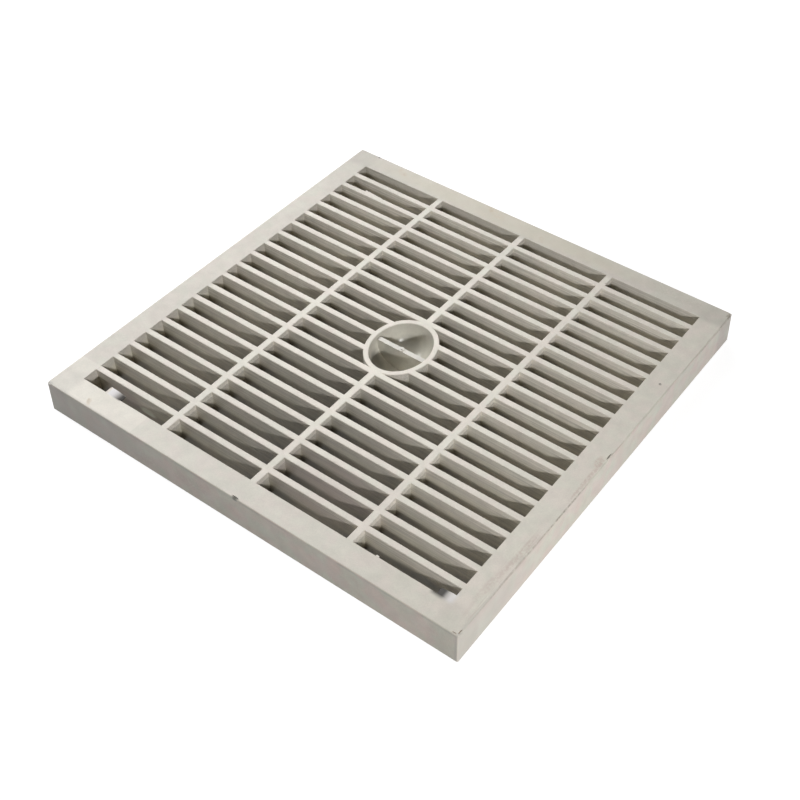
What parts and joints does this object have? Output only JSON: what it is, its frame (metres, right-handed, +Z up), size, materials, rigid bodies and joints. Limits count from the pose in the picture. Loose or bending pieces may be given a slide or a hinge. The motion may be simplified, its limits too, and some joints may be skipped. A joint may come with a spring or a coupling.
{
  "type": "gully grate",
  "caption": "Square moulded plastic gully grate with a slotted field, a drafted skirt round its rim and an oval lifting cup in the middle.",
  "frame": {"origin": "centre of the square that the foot of the skirt stands on", "axes": "+Z up out of the walked-on face, +X along the slats, +Y across the slats"},
  "size_m": [0.4018, 0.4018, 0.0293],
  "materials": {
    "moulding": "pale warm grey, fine moulded matt with a slight sheen"
  },
  "bodies": {
    "root": {"grate": "moulding"}
  },
  "joints": []
}
